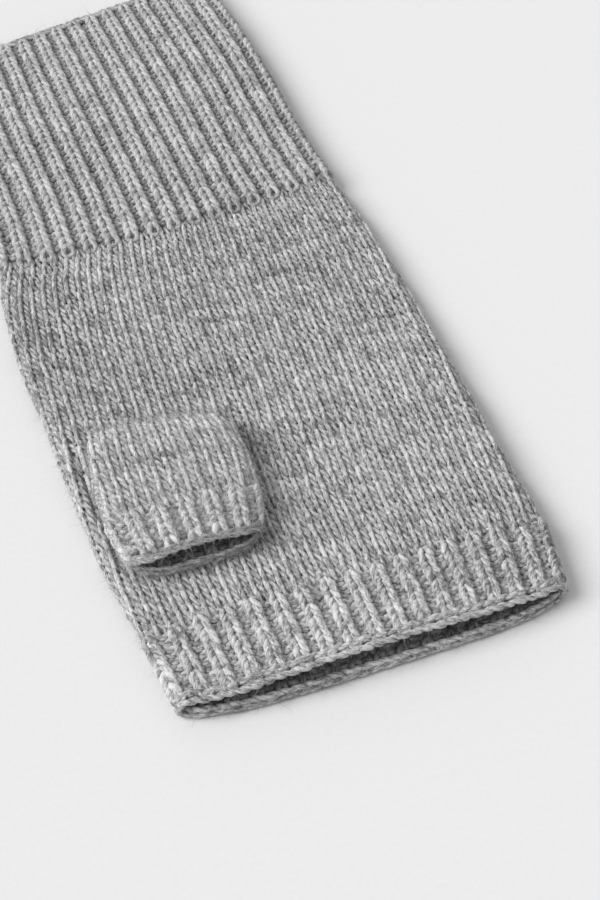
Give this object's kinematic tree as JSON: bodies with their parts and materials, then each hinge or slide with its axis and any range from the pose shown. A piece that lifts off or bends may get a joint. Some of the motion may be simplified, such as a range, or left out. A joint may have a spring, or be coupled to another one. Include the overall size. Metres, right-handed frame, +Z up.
{
  "type": "fingerless glove",
  "caption": "Knitted fingerless glove lying flat, with a plain hand tube, a ribbed finger edge, a long ribbed cuff and a short thumb tube on the palm.",
  "frame": {"origin": "middle of the glove's flat outline, on the surface it lies on", "axes": "+Y from the finger opening to the wrist end, +Z up out of the palm, and +X across the hand, away from the thumb"},
  "size_m": [0.095, 0.233, 0.0157],
  "materials": {
    "plain_knit": "heather grey wool, plain knitting, fuzzy and matte",
    "rib_knit": "heather grey wool, one by one rib, fuzzy and matte",
    "edge_knit": "heather grey wool, chain edge, fuzzy and matte",
    "seam_yarn": "heather grey wool yarn, sewn seam, matte",
    "tail_yarn": "heather grey wool yarn, loose twist, matte"
  },
  "bodies": {
    "hand": {"hand_tube": "plain_knit", "wrist_join_course": "plain_knit", "thumb_join": "edge_knit", "hand_side_seam": "seam_yarn"},
    "cuff": {"wrist_cuff": "rib_knit", "cuff_cast_on_edge": "edge_knit", "cuff_side_seam": "seam_yarn", "cuff_tail": "tail_yarn"},
    "finger_end": {"finger_rib": "rib_knit", "finger_cast_off_edge": "edge_knit", "finger_rib_side_seam": "seam_yarn", "finger_tail": "tail_yarn"},
    "thumb": {"thumb_tube": "plain_knit", "thumb_rib": "rib_knit", "thumb_cast_off_edge": "edge_knit", "thumb_side_seam": "seam_yarn", "thumb_root_tail": "tail_yarn", "thumb_tip_tail": "tail_yarn"}
  },
  "joints": [
    {"name": "wrist_flex", "type": "hinge", "parent": "hand", "child": "cuff", "pos_m": [0, 0.0245, 0.0079], "axis": [1, 0, 0], "range_deg": [0, 80]},
    {"name": "knuckle_flex", "type": "hinge", "parent": "hand", "child": "finger_end", "pos_m": [0, -0.0965, 0.0079], "axis": [-1, 0, 0], "range_deg": [0, 80]},
    {"name": "thumb_lift", "type": "hinge", "parent": "hand", "child": "thumb", "pos_m": [-0.027, -0.0465, 0.00805], "axis": [-1, 0, 0], "range_deg": [0, 90]}
  ]
}
